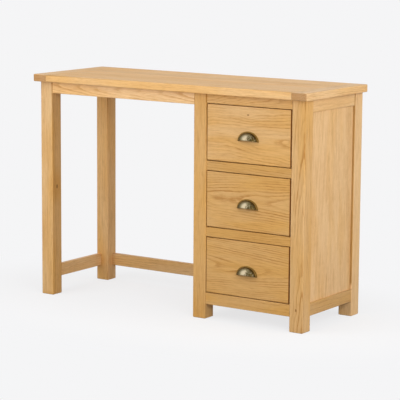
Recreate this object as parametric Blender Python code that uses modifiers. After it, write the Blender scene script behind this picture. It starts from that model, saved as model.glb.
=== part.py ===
"""Oak dressing table: an open kneehole on the left and a pedestal of three drawers on the right.

Metres, +Z up. X runs along the front with the pedestal at +X, and the front faces -Y.
The origin is on the floor under the middle of the top.
"""

import math

import bmesh
import bpy
from mathutils import Vector

# Overall sizes
TABLE_WIDTH = 1.110
TABLE_DEPTH = 0.395
TABLE_HEIGHT = 0.780

# Top: a field of staves between two end boards that run front to back
TOP_THICKNESS = 0.025
TOP_END_WIDTH = 0.058
TOP_CORNER_RADIUS = 0.008
TOP_OVERHANG_SIDE = 0.0175
TOP_OVERHANG_FRONT = 0.022
TOP_OVERHANG_BACK = 0.004
TONGUE_LENGTH = 0.014
TONGUE_THICKNESS = 0.008
TONGUE_STOP = 0.030

# Legs and the frame between them
LEG_SIZE = 0.050
PEDESTAL_WIDTH = 0.4275
REVEAL = 0.0025
RAIL_THICKNESS = 0.020
APRON_HEIGHT = 0.040
STRETCHER_LIFT = 0.053
STRETCHER_HEIGHT = 0.043
STRETCHER_THICKNESS = 0.018
TENON_LENGTH = 0.018
TENON_THICKNESS = 0.009
TENON_SHOULDER = 0.006
TENON_ROOT = 0.004

# Pedestal rails and panels
FOOT_CLEARANCE = 0.050
BOTTOM_RAIL_HEIGHT = 0.040
DRAWER_RAIL_HEIGHT = 0.032
SIDE_RAIL_HEIGHT = 0.0425
BACK_RAIL_DROP = 0.003
PANEL_THICKNESS = 0.008
PANEL_RECESS = 0.008
PANEL_GROOVE = 0.008
GROOVE_WALL = 0.002

# Drawers
DRAWER_NAMES = ("drawer_bottom", "drawer_middle", "drawer_top")
FRONT_THICKNESS = 0.020
FRONT_GAP_LEFT = 0.0015
FRONT_GAP_RIGHT = 0.0045
FRONT_GAP_HEIGHT = 0.0025
SIDE_THICKNESS = 0.012
SIDE_HEADROOM = 0.008
BACK_THICKNESS = 0.012
BACK_INSET = 0.004
BACK_HOUSING = 0.004
BASE_THICKNESS = 0.006
BASE_GROOVE = 0.005
BASE_LIFT = 0.010
BACK_STOP_GAP = 0.001
TAIL_COUNT = 4
TAIL_LENGTH = 0.014
TAIL_ROOT_SHARE = 0.50
TAIL_TIP_SHARE = 0.68
TAIL_MARGIN = 0.004
RUNNER_WIDTH = 0.016
KICKER_HEIGHT = 0.020

# Cup pulls and their screws
PULL_WIDTH = 0.081
PULL_HEIGHT = 0.0335
PULL_DEPTH = 0.0235
PULL_DROP = 0.0205
PULL_FOOT = 0.0006
PULL_LIP_RISE = 0.0065
PULL_FLANGE = 0.004
PULL_FLANGE_THICKNESS = 0.002
PULL_WALL = 0.002
PULL_HOLE_SPACING = 0.052
PULL_HOLE_LIFT = 0.010
PULL_BOSS_RADIUS = 0.0038
PULL_BOSS_LENGTH = 0.0125
SCREW_RADIUS = 0.002
SCREW_GRIP = 0.009
SCREW_HEAD_RADIUS = 0.004
SCREW_HEAD_HEIGHT = 0.0028
SCREW_CROWN_RADIUS = 0.0026
SCREW_CROWN_DROP = 0.0003
SCREW_RIM_HEIGHT = 0.0011

# Small distances
SEAT_GAP = 0.0003
LEG_ROUND = 0.003
TOP_ROUND = 0.003
BOARD_ROUND = 0.0015
HIDDEN_ROUND = 0.0008
FRONT_ROUND = 0.002

# Round pieces and rounded edges. An edge is rounded where its faces turn by more than the sharp angle.
SHARP_ANGLE = 40
EDGE_STEPS = 3
HIDDEN_EDGE_STEPS = 2
DOME_SEGMENTS = 24
DOME_RINGS = 14
DISC_SEGMENTS = 40
HOLE_SEGMENTS = 12
CORNER_SEGMENTS = 4

# The upper face of a piece, as an axis and the sign of its side
TOP_FACE = (2, 1)

# Colours as sRGB values
OAK_TOP = (0.82, 0.70, 0.51)
OAK_LEG = (0.85, 0.68, 0.45)
OAK_FRONT = (0.83, 0.65, 0.41)
OAK_PANEL = (0.85, 0.69, 0.48)
OAK_INSIDE = (0.78, 0.62, 0.42)
PEWTER = (0.40, 0.33, 0.24)
STEEL = (0.62, 0.62, 0.63)

# Gloss, from 0 for a mirror to 1 for a dull surface
OAK_ROUGHNESS = 0.45
PEWTER_ROUGHNESS = 0.32
STEEL_ROUGHNESS = 0.30

# Heights worked out from the sizes above
UNDERSIDE = TABLE_HEIGHT - TOP_THICKNESS
LEG_TOP = UNDERSIDE - SEAT_GAP
BOTTOM_RAIL_TOP = FOOT_CLEARANCE + BOTTOM_RAIL_HEIGHT
OPENING_HEIGHT = (UNDERSIDE - BOTTOM_RAIL_TOP) / len(DRAWER_NAMES) - DRAWER_RAIL_HEIGHT
OPENING_PITCH = OPENING_HEIGHT + DRAWER_RAIL_HEIGHT

# Stretches along X and Y that pieces share
LEFT_LEG_X = (TOP_OVERHANG_SIDE - TABLE_WIDTH / 2, TOP_OVERHANG_SIDE - TABLE_WIDTH / 2 + LEG_SIZE)
RIGHT_LEG_X = (TABLE_WIDTH / 2 - TOP_OVERHANG_SIDE - LEG_SIZE, TABLE_WIDTH / 2 - TOP_OVERHANG_SIDE)
INNER_LEG_X = (RIGHT_LEG_X[1] - PEDESTAL_WIDTH, RIGHT_LEG_X[1] - PEDESTAL_WIDTH + LEG_SIZE)
FRONT_LEG_Y = (TOP_OVERHANG_FRONT - TABLE_DEPTH / 2, TOP_OVERHANG_FRONT - TABLE_DEPTH / 2 + LEG_SIZE)
BACK_LEG_Y = (TABLE_DEPTH / 2 - TOP_OVERHANG_BACK - LEG_SIZE, TABLE_DEPTH / 2 - TOP_OVERHANG_BACK)
KNEEHOLE_X = (LEFT_LEG_X[1], INNER_LEG_X[0])
DRAWER_BAY_X = (INNER_LEG_X[1], RIGHT_LEG_X[0])
LEG_SPACE_Y = (FRONT_LEG_Y[1], BACK_LEG_Y[0])
FRONT_FACE_Y = FRONT_LEG_Y[0] + REVEAL
FRONT_RAIL_Y = (FRONT_FACE_Y, FRONT_FACE_Y + RAIL_THICKNESS)
BACK_RAIL_Y = (BACK_LEG_Y[1] - REVEAL - RAIL_THICKNESS, BACK_LEG_Y[1] - REVEAL)
BACK_PANEL_Y = (BACK_LEG_Y[1] - PANEL_RECESS - PANEL_THICKNESS, BACK_LEG_Y[1] - PANEL_RECESS)


def clear_scene():
    """Remove every object that the file starts with."""
    for obj in list(bpy.data.objects):
        bpy.data.objects.remove(obj, do_unlink=True)


def new_collection(name):
    """Make a collection in the scene."""
    collection = bpy.data.collections.new(name)
    bpy.context.scene.collection.children.link(collection)
    return collection


def around(centre, width):
    """Low and high end of a width laid evenly about a centre."""
    return centre - width / 2, centre + width / 2


def grown(box, gap):
    """A box, given as three low and high pairs, made larger by a gap on every side."""
    return [(low - gap, high + gap) for low, high in box]


def middle(box):
    """Centre of a box."""
    return Vector([(low + high) / 2 for low, high in box])


def linear(colour):
    """Linear value of an sRGB colour."""
    return [((part + 0.055) / 1.055) ** 2.4 for part in colour] + [1.0]


def finish(name, colour, roughness, metallic=0.0):
    """Make one piece's material."""
    material = bpy.data.materials.new(name)
    material.use_nodes = True
    shader = material.node_tree.nodes["Principled BSDF"]
    shader.inputs["Base Color"].default_value = linear(colour)
    shader.inputs["Roughness"].default_value = roughness
    shader.inputs["Metallic"].default_value = metallic
    return material


def mesh_from(name, form):
    """Write a bmesh to a new mesh."""
    mesh = bpy.data.meshes.new(name)
    form.to_mesh(mesh)
    form.free()
    return mesh


def box_form(box):
    """Bmesh of a box about its own centre."""
    form = bmesh.new()
    bmesh.ops.create_cube(form, size=1.0)
    bmesh.ops.scale(form, vec=Vector([high - low for low, high in box]), verts=form.verts)
    return form


def box_mesh(name, box):
    """Mesh of a box about its own centre."""
    return mesh_from(name, box_form(box))


def round_over(form, edges, width, segments):
    """Round some edges of a bmesh."""
    bmesh.ops.bevel(
        form, geom=edges, offset=width, segments=segments, affect="EDGES", profile=0.5, material=-1,
        clamp_overlap=True,
    )


def round_sharp_edges(form, width, segments, butted):
    """Round a bmesh's sharp edges, all but those of the faces where another piece meets it.

    butted lists those faces, each as an axis and the sign of its side.
    """
    edges = [
        edge for edge in form.edges
        if edge.calc_face_angle() > math.radians(SHARP_ANGLE)
        and not any(all(vert.co[axis] * sign > 0 for vert in edge.verts) for axis, sign in butted)
    ]
    round_over(form, edges, width, segments)


def add_piece(name, mesh, place, material, parent=None):
    """Put a part of the table at its place."""
    piece = bpy.data.objects.new(name, mesh)
    piece.location = place
    piece.parent = parent
    mesh.materials.append(material)
    PARTS.objects.link(piece)
    return piece


def add_tool(name, mesh, place, parent=None):
    """Put a shape that only cuts or joins, and is no part itself, at its place."""
    tool = bpy.data.objects.new(name, mesh)
    tool.location = place
    tool.parent = parent
    tool.hide_render = True
    tool.display_type = "WIRE"
    TOOLS.objects.link(tool)
    return tool


def box_tool(name, box, parent=None):
    """Cutting or joining box."""
    return add_tool(name, box_mesh(name, box), middle(box), parent)


def cylinder_tool(name, radius, y, centre_x, centre_z, parent=None):
    """Cutting or joining cylinder that lies along Y."""
    form = bmesh.new()
    bmesh.ops.create_cone(
        form, cap_ends=True, segments=HOLE_SEGMENTS, radius1=radius, radius2=radius, depth=y[1] - y[0]
    )
    tool = add_tool(name, mesh_from(name, form), (centre_x, sum(y) / 2, centre_z), parent)
    tool.rotation_euler = (math.pi / 2, 0, 0)
    return tool


def combine(piece, tool, operation="DIFFERENCE"):
    """Cut a piece with a tool, or join or trim it with the other operations."""
    modifier = piece.modifiers.new(tool.name, "BOOLEAN")
    modifier.operation = operation
    modifier.solver = "EXACT"
    modifier.object = tool


def board(name, box, colour, edge=BOARD_ROUND, steps=HIDDEN_EDGE_STEPS, butted=(), parent=None):
    """A sawn oak piece with rounded edges, square where butted says that other pieces meet it."""
    form = box_form(box)
    round_sharp_edges(form, edge, steps, butted)
    material = finish(name + "_oak", colour, OAK_ROUGHNESS)
    return add_piece(name, mesh_from(name, form), middle(box), material, parent)


def build_legs():
    """Six square legs. Returns them by name."""
    places = {
        "leg_front_left": (LEFT_LEG_X, FRONT_LEG_Y),
        "leg_back_left": (LEFT_LEG_X, BACK_LEG_Y),
        "pedestal_leg_front_left": (INNER_LEG_X, FRONT_LEG_Y),
        "pedestal_leg_back_left": (INNER_LEG_X, BACK_LEG_Y),
        "pedestal_leg_front_right": (RIGHT_LEG_X, FRONT_LEG_Y),
        "pedestal_leg_back_right": (RIGHT_LEG_X, BACK_LEG_Y),
    }
    return {
        name: board(name, [x, y, (0.0, LEG_TOP)], OAK_LEG, LEG_ROUND, EDGE_STEPS, [TOP_FACE])
        for name, (x, y) in places.items()
    }


def rail(name, box, along, legs, shoulders=(TENON_SHOULDER, TENON_SHOULDER)):
    """A rail between two legs, with a tenon in each.

    box is the space between the legs that the rail fills, along is 0 for a rail along X and 1 for
    one along Y, and shoulders are the heights left off the tenon below and above.
    """
    body = list(box)
    body[along] = (box[along][0] + SEAT_GAP, box[along][1] - SEAT_GAP)
    butted = [(along, -1), (along, 1)] + ([TOP_FACE] if box[2][1] == LEG_TOP else [])
    piece = board(name, body, OAK_FRONT, butted=butted)
    tenon = list(box)
    tenon[1 - along] = around(sum(box[1 - along]) / 2, TENON_THICKNESS)
    tenon[2] = (box[2][0] + shoulders[0], box[2][1] - shoulders[1])
    low, high = box[along]
    ends = ((low - TENON_LENGTH, low + TENON_ROOT), (high - TENON_ROOT, high + TENON_LENGTH))
    for leg, end in zip(legs, ends):
        tenon[along] = end
        combine(piece, box_tool(f"{name}_tenon_{leg.name}", tenon), "UNION")
        combine(leg, box_tool(f"{name}_mortise_{leg.name}", grown(tenon, SEAT_GAP)))
    return piece


def panel(name, thickness, opening, along, holders):
    """A thin panel in grooves in the legs and rails around it.

    thickness is its stretch across, opening is the clear space along and up, and holders are grooved.
    """
    box = [None, None, (opening[1][0] - PANEL_GROOVE, opening[1][1] + PANEL_GROOVE)]
    box[along] = (opening[0][0] - PANEL_GROOVE, opening[0][1] + PANEL_GROOVE)
    box[1 - along] = thickness
    material = finish(name + "_oak", OAK_PANEL, OAK_ROUGHNESS)
    piece = add_piece(name, box_mesh(name, box), middle(box), material)
    groove = box_tool(name + "_groove", grown(box, SEAT_GAP))
    for holder in holders:
        combine(holder, groove)
    return piece


def build_left_bay(legs):
    """Aprons under the top and stretchers near the floor, round the kneehole."""
    apron_z = (UNDERSIDE - APRON_HEIGHT, LEG_TOP)
    stretcher_z = (STRETCHER_LIFT, STRETCHER_LIFT + STRETCHER_HEIGHT)
    front_pair = (legs["leg_front_left"], legs["pedestal_leg_front_left"])
    back_pair = (legs["leg_back_left"], legs["pedestal_leg_back_left"])
    left_pair = (legs["leg_front_left"], legs["leg_back_left"])
    apron_x = (LEFT_LEG_X[0] + REVEAL, LEFT_LEG_X[0] + REVEAL + RAIL_THICKNESS)
    stretcher_x = (LEFT_LEG_X[0] + REVEAL, LEFT_LEG_X[0] + REVEAL + STRETCHER_THICKNESS)
    stretcher_y = (BACK_LEG_Y[1] - REVEAL - STRETCHER_THICKNESS, BACK_LEG_Y[1] - REVEAL)
    rail("apron_front", [KNEEHOLE_X, FRONT_RAIL_Y, apron_z], 0, front_pair)
    rail("apron_back", [KNEEHOLE_X, BACK_RAIL_Y, apron_z], 0, back_pair)
    rail("apron_left", [apron_x, LEG_SPACE_Y, apron_z], 1, left_pair)
    rail("stretcher_left", [stretcher_x, LEG_SPACE_Y, stretcher_z], 1, left_pair)
    rail("stretcher_back", [KNEEHOLE_X, stretcher_y, stretcher_z], 0, back_pair)


def build_pedestal_front(legs):
    """Four rails between the pedestal's front legs, round the drawer openings."""
    pair = (legs["pedestal_leg_front_left"], legs["pedestal_leg_front_right"])
    rail("front_rail_bottom", [DRAWER_BAY_X, FRONT_RAIL_Y, (FOOT_CLEARANCE, BOTTOM_RAIL_TOP)], 0, pair)
    for step, name in enumerate(("front_rail_lower", "front_rail_upper", "front_rail_top"), start=1):
        high = BOTTOM_RAIL_TOP + step * OPENING_PITCH
        height = (high - DRAWER_RAIL_HEIGHT, min(high, LEG_TOP))
        rail(name, [DRAWER_BAY_X, FRONT_RAIL_Y, height], 0, pair)


def build_framed_side(name, outer, inward, legs):
    """A pedestal side: two rails and a panel. outer is its legs' face, and inward is 1 or -1 along X."""
    rail_x = sorted((outer + inward * REVEAL, outer + inward * (REVEAL + RAIL_THICKNESS)))
    panel_x = sorted((outer + inward * PANEL_RECESS, outer + inward * (PANEL_RECESS + PANEL_THICKNESS)))
    low_z = (FOOT_CLEARANCE, FOOT_CLEARANCE + SIDE_RAIL_HEIGHT)
    high_z = (UNDERSIDE - SIDE_RAIL_HEIGHT, LEG_TOP)
    deep = PANEL_GROOVE + GROOVE_WALL
    low = rail(f"side_rail_{name}_bottom", [rail_x, LEG_SPACE_Y, low_z], 1, legs, (TENON_SHOULDER, deep))
    high = rail(f"side_rail_{name}_top", [rail_x, LEG_SPACE_Y, high_z], 1, legs, (deep, TENON_SHOULDER))
    opening = (LEG_SPACE_Y, (low_z[1], high_z[0]))
    panel(f"side_panel_{name}", panel_x, opening, 1, (*legs, low, high))


def build_pedestal_back(legs):
    """The pedestal's back: two rails and a panel that also stops the drawers."""
    pair = (legs["pedestal_leg_back_left"], legs["pedestal_leg_back_right"])
    low_z = (FOOT_CLEARANCE, BOTTOM_RAIL_TOP - BACK_RAIL_DROP)
    high_z = (UNDERSIDE - DRAWER_RAIL_HEIGHT, LEG_TOP)
    deep = PANEL_GROOVE + GROOVE_WALL
    low = rail("back_rail_bottom", [DRAWER_BAY_X, BACK_RAIL_Y, low_z], 0, pair, (TENON_SHOULDER, deep))
    high = rail("back_rail_top", [DRAWER_BAY_X, BACK_RAIL_Y, high_z], 0, pair, (deep, TENON_SHOULDER))
    panel("back_panel", BACK_PANEL_Y, (DRAWER_BAY_X, (low_z[1], high_z[0])), 0, (*pair, low, high))


def build_runners():
    """Battens on the legs' inner faces: the drawers slide on six, and two kickers keep the top one level."""
    batten_y = (FRONT_RAIL_Y[1] + SEAT_GAP, BACK_RAIL_Y[0] - SEAT_GAP)
    sides = {
        "left": (DRAWER_BAY_X[0] + SEAT_GAP, DRAWER_BAY_X[0] + SEAT_GAP + RUNNER_WIDTH),
        "right": (DRAWER_BAY_X[1] - SEAT_GAP - RUNNER_WIDTH, DRAWER_BAY_X[1] - SEAT_GAP),
    }
    for side, batten_x in sides.items():
        for step, drawer in enumerate(DRAWER_NAMES):
            high = BOTTOM_RAIL_TOP + step * OPENING_PITCH
            box = [batten_x, batten_y, (high - DRAWER_RAIL_HEIGHT, high)]
            board(f"{drawer}_runner_{side}", box, OAK_INSIDE)
        low = UNDERSIDE - DRAWER_RAIL_HEIGHT
        board(f"kicker_{side}", [batten_x, batten_y, (low, low + KICKER_HEIGHT)], OAK_INSIDE)


def end_board_mesh(name, box, outward):
    """Mesh of an end board of the top, with its two outer corners and its outer edges rounded."""
    form = box_form(box)
    corners = [
        edge for edge in form.edges
        if all(vert.co.x * outward > 0 for vert in edge.verts)
        and abs(edge.verts[0].co.z - edge.verts[1].co.z) > TOP_THICKNESS / 2
    ]
    round_over(form, corners, TOP_CORNER_RADIUS, CORNER_SEGMENTS)
    round_sharp_edges(form, TOP_ROUND, EDGE_STEPS, [(0, -outward)])
    return mesh_from(name, form)


def build_top():
    """The top's field, with a tongue at each end, and the two grooved end boards."""
    top_y = around(0.0, TABLE_DEPTH)
    top_z = (UNDERSIDE, TABLE_HEIGHT)
    field_x = (TOP_END_WIDTH - TABLE_WIDTH / 2, TABLE_WIDTH / 2 - TOP_END_WIDTH)
    field_box = [field_x, top_y, top_z]
    field = board("top_field", field_box, OAK_TOP, TOP_ROUND, EDGE_STEPS, [(0, -1), (0, 1)])
    for side, outward, joint in (("left", -1, field_x[0]), ("right", 1, field_x[1])):
        name = f"top_end_{side}"
        box = [sorted((joint + outward * SEAT_GAP, joint + outward * TOP_END_WIDTH)), top_y, top_z]
        material = finish(name + "_oak", OAK_TOP, OAK_ROUGHNESS)
        end = add_piece(name, end_board_mesh(name, box, outward), middle(box), material)
        tongue = [
            sorted((joint - outward * TENON_ROOT, joint + outward * TONGUE_LENGTH)),
            (top_y[0] + TONGUE_STOP, top_y[1] - TONGUE_STOP),
            around(sum(top_z) / 2, TONGUE_THICKNESS),
        ]
        combine(field, box_tool(name + "_tongue", tongue), "UNION")
        combine(end, box_tool(name + "_groove", grown(tongue, SEAT_GAP)))


def tail_tool(name, x, y_root, z_centre, pitch, gap, parent):
    """A dovetail: a block that widens from its root towards -Y, made larger by a gap."""
    box = grown([x, (y_root - TAIL_LENGTH, y_root + TENON_ROOT), around(z_centre, pitch)], gap)
    form = box_form(box)
    for vert in form.verts:
        share = TAIL_TIP_SHARE if vert.co.y < 0 else TAIL_ROOT_SHARE
        vert.co.z = math.copysign(pitch * share / 2 + gap, vert.co.z)
    return add_tool(name, mesh_from(name, form), middle(box), parent)


def ellipsoid_mesh(name, half_width, depth, height):
    """Mesh of an ellipsoid whose poles lie along X."""
    form = bmesh.new()
    bmesh.ops.create_uvsphere(form, u_segments=DOME_SEGMENTS, v_segments=DOME_RINGS, radius=1.0)
    for vert in form.verts:
        vert.co = (vert.co.z * half_width, vert.co.y * depth, -vert.co.x * height)
    bmesh.ops.recalc_face_normals(form, faces=form.faces)
    return mesh_from(name, form)


def build_pull(drawer, slide, place):
    """A cup pull: half a hollow dome with a flange, open below, and two bosses for its screws.

    Its lower edge rises from the foot, at the drawer's front, to the lip.
    """
    name = f"{drawer}_pull"
    half = PULL_WIDTH / 2 - PULL_FLANGE
    height = PULL_HEIGHT - PULL_FLANGE
    material = finish(name + "_pewter", PEWTER, PEWTER_ROUGHNESS, 1.0)
    pull = add_piece(name, ellipsoid_mesh(name, half, PULL_DEPTH, height), place, material, slide)
    disc = bmesh.new()
    bmesh.ops.create_cone(
        disc, cap_ends=True, segments=DISC_SEGMENTS, radius1=1.0, radius2=1.0, depth=PULL_FLANGE_THICKNESS
    )
    bmesh.ops.scale(disc, vec=(half + PULL_FLANGE, height + PULL_FLANGE, 1.0), verts=disc.verts)
    flange_y = place[1] - PULL_FLANGE_THICKNESS / 2
    flange = add_tool(name + "_flange", mesh_from(name, disc), (place[0], flange_y, place[2]), slide)
    flange.rotation_euler = (math.pi / 2, 0, 0)
    combine(pull, flange, "UNION")
    hollow_mesh = ellipsoid_mesh(name, half - PULL_WALL, PULL_DEPTH - PULL_WALL, height - PULL_WALL)
    combine(pull, add_tool(name + "_hollow", hollow_mesh, place, slide))
    hole_z = place[2] + PULL_HOLE_LIFT
    for side, x in zip(("left", "right"), around(place[0], PULL_HOLE_SPACING)):
        boss_y = (place[1] - PULL_BOSS_LENGTH, place[1])
        boss = cylinder_tool(f"{name}_boss_{side}", PULL_BOSS_RADIUS, boss_y, x, hole_z, slide)
        combine(pull, boss, "UNION")
    room = [around(place[0], PULL_WIDTH * 2), (place[1] - PULL_DEPTH * 2, place[1]),
            around(place[2], PULL_HEIGHT * 4)]
    combine(pull, box_tool(name + "_room", room, slide), "INTERSECT")
    below = [around(0.0, PULL_WIDTH * 2), around(0.0, PULL_DEPTH * 4), (-PULL_HEIGHT * 2, 0.0)]
    wedge = box_form(below)
    bmesh.ops.translate(wedge, vec=middle(below), verts=wedge.verts)
    foot = (place[0], place[1], place[2] - PULL_FOOT)
    under = add_tool(name + "_under", mesh_from(name, wedge), foot, slide)
    under.rotation_euler = (-math.atan2(PULL_LIP_RISE, PULL_DEPTH), 0, 0)
    combine(pull, under)
    return pull


def build_screw(name, slide, x, z, head_y, tip_y):
    """A pan-head screw that lies along Y with its head inside the drawer."""
    length = head_y - tip_y
    profile = (
        (0.0, SCREW_HEAD_HEIGHT), (SCREW_CROWN_RADIUS, SCREW_HEAD_HEIGHT - SCREW_CROWN_DROP),
        (SCREW_HEAD_RADIUS, SCREW_RIM_HEIGHT), (SCREW_HEAD_RADIUS, 0.0),
        (SCREW_RADIUS, 0.0), (SCREW_RADIUS, -length), (0.0, -length),
    )
    form = bmesh.new()
    verts = [form.verts.new((radius, 0.0, level)) for radius, level in profile]
    for first, second in zip(verts, verts[1:]):
        form.edges.new((first, second))
    material = finish(name + "_steel", STEEL, STEEL_ROUGHNESS, 1.0)
    screw = add_piece(name, mesh_from(name, form), (x, head_y, z), material, slide)
    screw.rotation_euler = (-math.pi / 2, 0, 0)
    turn = screw.modifiers.new("Turned", "SCREW")
    turn.steps = turn.render_steps = HOLE_SEGMENTS
    turn.use_merge_vertices = True
    turn.merge_threshold = 0.00001
    return screw


def build_drawer(drawer, step):
    """One drawer with its pull and screws, on an empty that slides along Y.

    The pieces' places are measured from the empty, which is at the middle of the front's face, level
    with the top of the runners.
    """
    width = DRAWER_BAY_X[1] - DRAWER_BAY_X[0] - FRONT_GAP_LEFT - FRONT_GAP_RIGHT
    slide = bpy.data.objects.new(drawer + "_slide", None)
    slide_x = DRAWER_BAY_X[0] + FRONT_GAP_LEFT + width / 2
    slide.location = (slide_x, FRONT_FACE_Y, BOTTOM_RAIL_TOP + step * OPENING_PITCH)
    PARTS.objects.link(slide)

    front_x = around(0.0, width)
    front_z = (FRONT_GAP_HEIGHT, OPENING_HEIGHT - FRONT_GAP_HEIGHT)
    front_box = [front_x, (0.0, FRONT_THICKNESS), front_z]
    front = board(f"{drawer}_front", front_box, OAK_FRONT, FRONT_ROUND, EDGE_STEPS, parent=slide)

    rear_y = BACK_PANEL_Y[0] - BACK_STOP_GAP - FRONT_FACE_Y
    side_z = (SEAT_GAP, OPENING_HEIGHT - SIDE_HEADROOM)
    inner_x = (front_x[0] + SIDE_THICKNESS, front_x[1] - SIDE_THICKNESS)
    base_z = (side_z[0] + BASE_LIFT, side_z[0] + BASE_LIFT + BASE_THICKNESS)
    base = [(inner_x[0] - BASE_GROOVE, inner_x[1] + BASE_GROOVE),
            (FRONT_THICKNESS - BASE_GROOVE, rear_y - BACK_INSET), base_z]
    back = [(inner_x[0] - BACK_HOUSING, inner_x[1] + BACK_HOUSING),
            (rear_y - BACK_INSET - BACK_THICKNESS, rear_y - BACK_INSET),
            (base_z[1] + SEAT_GAP, side_z[1] - BACK_INSET)]
    board(f"{drawer}_base", base, OAK_INSIDE, HIDDEN_ROUND, 1, parent=slide)
    board(f"{drawer}_back", back, OAK_INSIDE, HIDDEN_ROUND, 1, parent=slide)
    base_groove = box_tool(f"{drawer}_base_groove", grown(base, SEAT_GAP), slide)
    back_housing = box_tool(f"{drawer}_back_housing", grown(back, SEAT_GAP), slide)
    combine(front, base_groove)

    tails_z = (base_z[1] + TAIL_MARGIN, side_z[1] - TAIL_MARGIN)
    pitch = (tails_z[1] - tails_z[0]) / TAIL_COUNT
    for side, side_x in (("left", (front_x[0], inner_x[0])), ("right", (inner_x[1], front_x[1]))):
        name = f"{drawer}_side_{side}"
        body = [side_x, (FRONT_THICKNESS + SEAT_GAP, rear_y), side_z]
        wall = board(name, body, OAK_INSIDE, HIDDEN_ROUND, butted=[(1, -1)], parent=slide)
        for count in range(TAIL_COUNT):
            centre = tails_z[0] + (count + 0.5) * pitch
            root = FRONT_THICKNESS
            label = f"{name}_tail_{count}"
            combine(wall, tail_tool(label, side_x, root, centre, pitch, 0.0, slide), "UNION")
            combine(front, tail_tool(label + "_socket", side_x, root, centre, pitch, SEAT_GAP, slide))
        combine(wall, base_groove)
        combine(wall, back_housing)

    pull_z = OPENING_HEIGHT / 2 - PULL_DROP
    pull = build_pull(drawer, slide, (0.0, -SEAT_GAP, pull_z))
    for side, x in zip(("left", "right"), around(0.0, PULL_HOLE_SPACING)):
        hole_z = pull_z + PULL_HOLE_LIFT
        head_y = FRONT_THICKNESS + SEAT_GAP
        build_screw(f"{drawer}_screw_{side}", slide, x, hole_z, head_y, -SCREW_GRIP)
        hole_y = (-SCREW_GRIP - SEAT_GAP, FRONT_THICKNESS + SEAT_GAP)
        hole = cylinder_tool(f"{drawer}_hole_{side}", SCREW_RADIUS + SEAT_GAP, hole_y, x, hole_z, slide)
        combine(front, hole)
        combine(pull, hole)


clear_scene()
PARTS = new_collection("dressing_table")
TOOLS = new_collection("cutters")
table_legs = build_legs()
build_left_bay(table_legs)
build_pedestal_front(table_legs)
outer_pair = (table_legs["pedestal_leg_front_right"], table_legs["pedestal_leg_back_right"])
inner_pair = (table_legs["pedestal_leg_front_left"], table_legs["pedestal_leg_back_left"])
build_framed_side("outer", RIGHT_LEG_X[1], -1, outer_pair)
build_framed_side("inner", INNER_LEG_X[0], 1, inner_pair)
build_pedestal_back(table_legs)
build_runners()
build_top()
for level, drawer_name in enumerate(DRAWER_NAMES):
    build_drawer(drawer_name, level)
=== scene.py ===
"""Looks of the oak dressing table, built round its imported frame.

Metres, +Z up, every piece in the frame's own place. The pieces that show are modelled again with fine
edges, and the others keep the frame's solids. Each piece of oak is dressed as a board that was sawn from
its own place in a log, so that its faces, edges and end grain belong together.
"""
import logging
import math
from collections.abc import Iterable, Sequence
from dataclasses import dataclass, field, replace
from enum import Enum
from typing import ClassVar, NamedTuple

import bmesh
import bpy
from mathutils import Euler, Matrix, Vector


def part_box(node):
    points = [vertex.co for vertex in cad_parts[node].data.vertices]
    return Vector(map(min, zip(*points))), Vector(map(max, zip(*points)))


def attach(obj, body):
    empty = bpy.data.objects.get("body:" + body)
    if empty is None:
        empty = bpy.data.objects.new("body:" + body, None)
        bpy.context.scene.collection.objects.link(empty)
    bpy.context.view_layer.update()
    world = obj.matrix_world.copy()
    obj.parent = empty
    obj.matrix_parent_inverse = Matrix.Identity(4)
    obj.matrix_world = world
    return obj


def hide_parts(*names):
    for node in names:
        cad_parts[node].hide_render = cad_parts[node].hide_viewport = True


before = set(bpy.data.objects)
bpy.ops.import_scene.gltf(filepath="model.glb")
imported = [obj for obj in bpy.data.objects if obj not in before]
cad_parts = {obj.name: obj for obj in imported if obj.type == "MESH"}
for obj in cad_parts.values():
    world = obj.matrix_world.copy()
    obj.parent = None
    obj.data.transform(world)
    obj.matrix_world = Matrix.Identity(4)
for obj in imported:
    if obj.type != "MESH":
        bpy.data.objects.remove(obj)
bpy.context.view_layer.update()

LOG = logging.getLogger("dressing_table")

# Joints, as they are cut in the frame
GAP = 0.0003
TENON_THICKNESS = 0.009
SHOULDER = 0.006
GROOVE_SHOULDER = 0.010
TENON_ROOT = 0.004

# Points nearer than this are one, and edges that turn more than this are sharp
MERGE = GAP / 10
SHARP = math.radians(40)

HALF = (0.5, 0.5, 0.5)
HANDS = {"left": -1, "right": 1}

Triple = tuple[float, float, float]
Colour = Triple
Stretch = tuple[float, ...]
Form = bmesh.types.BMesh
Mesh = bpy.types.Mesh
Material = bpy.types.Material
Socket = bpy.types.NodeSocket
Outputs = bpy.types.bpy_prop_collection
Feed = Socket | float | Sequence[float]
Inputs = dict[str | int, Feed]


class Grain(Enum):
    """Which way a board's fibres run, with the turn that lays them along Z."""

    ALONG_X = (0.0, -90.0, 0.0)
    ALONG_Y = (90.0, 0.0, 0.0)
    UPRIGHT = (0.0, 0.0, 0.0)

    @classmethod
    def along(cls, axis: int) -> "Grain":
        """Fibres along X for axis 0, and along Y for axis 1."""
        return cls.ALONG_Y if axis else cls.ALONG_X

    @property
    def turn(self) -> Euler:
        """Turn from the table's axes to the log's."""
        return Euler([math.radians(angle) for angle in self.value])

    @property
    def direction(self) -> Vector:
        """The fibres' direction on the table."""
        return self.turn.to_matrix().inverted() @ Vector((0.0, 0.0, 1.0))


class Side(Enum):
    """A face of a board, as an axis and the sign of its side."""

    LEFT = (0, -1)
    RIGHT = (0, 1)
    FRONT = (1, -1)
    BACK = (1, 1)
    UPPER = (2, 1)


class Slot(Enum):
    """The record's material slot names. A new piece is passed one, but nothing reads it."""

    TOP = "oak_top"
    LEG = "oak_leg"
    RAIL = "oak_rail"
    FRONT = "oak_front"
    PEWTER = "pewter"
    STEEL = "steel"


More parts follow.
